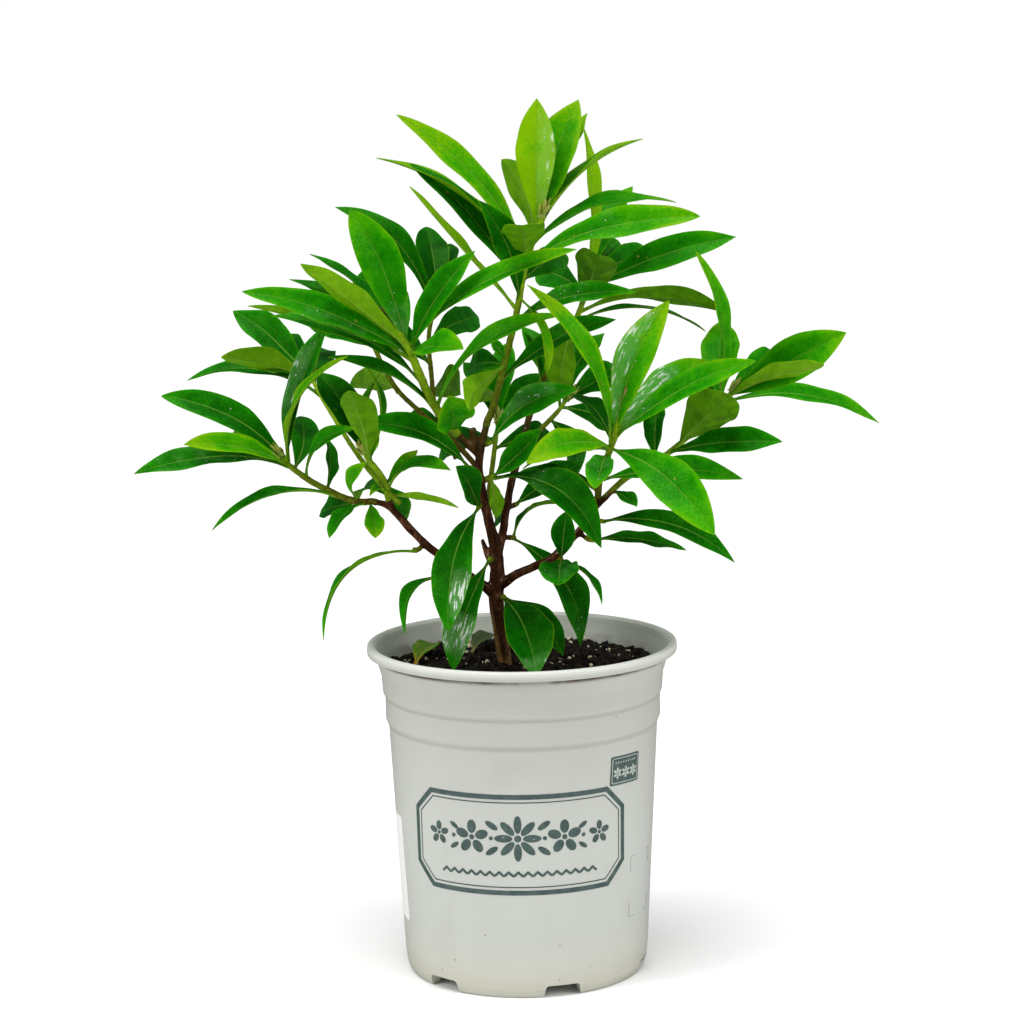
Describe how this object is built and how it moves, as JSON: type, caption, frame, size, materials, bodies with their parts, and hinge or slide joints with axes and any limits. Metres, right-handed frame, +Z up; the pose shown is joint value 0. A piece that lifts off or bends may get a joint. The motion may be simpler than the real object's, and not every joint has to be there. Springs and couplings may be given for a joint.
{
  "type": "potted daphne",
  "caption": "Young evergreen daphne shrub with open forked wood and whorls of long glossy leaves, standing in a filled round moulded nursery pot.",
  "frame": {"origin": "centre of the whole plant's box, at the height of the pot's foot ring; the pot's own axis passes within about 1 mm of it", "axes": "+Z up along the pot's axis, which is also the longest way; -Y is the side that the picture looks at; +X is to the right in the picture; Y is the shortest way"},
  "size_m": [0.3962, 0.1952, 0.4621],
  "materials": {
    "pot": "satin pale grey-green moulded plastic",
    "potting_mix": "dark crumbly bark and peat mix with pale perlite",
    "bark": "dull red-brown young bark",
    "leaf": "glossy leathery evergreen leaf with a paler midrib and underside",
    "dropped_leaf": "yellowing old leaf"
  },
  "bodies": {
    "root": {"pot": "pot", "potting_mix": "potting_mix", "trunk": "bark", "shoot_crown": "leaf", "shoot_top_right": "leaf", "shoot_left_crown": "leaf", "shoot_left_rear": "leaf", "shoot_left_fork": "leaf", "shoot_far_left": "leaf", "shoot_right": "leaf", "shoot_right_rear": "leaf", "shoot_rear_left": "leaf", "shoot_rear_right": "leaf", "spur_right_low": "leaf", "spur_right_lower": "leaf", "spur_middle": "leaf", "spur_middle_rear": "leaf", "spur_middle_low": "leaf", "spur_front_left": "leaf", "spur_front_low": "leaf", "spur_front_pot": "leaf", "spur_left_blade": "leaf", "spur_right_blade": "leaf", "spur_left_arc": "leaf", "spur_left_droop": "leaf", "spur_right_heart": "leaf", "dropped_leaf_left": "dropped_leaf", "dropped_leaf_rear": "dropped_leaf"}
  },
  "joints": []
}
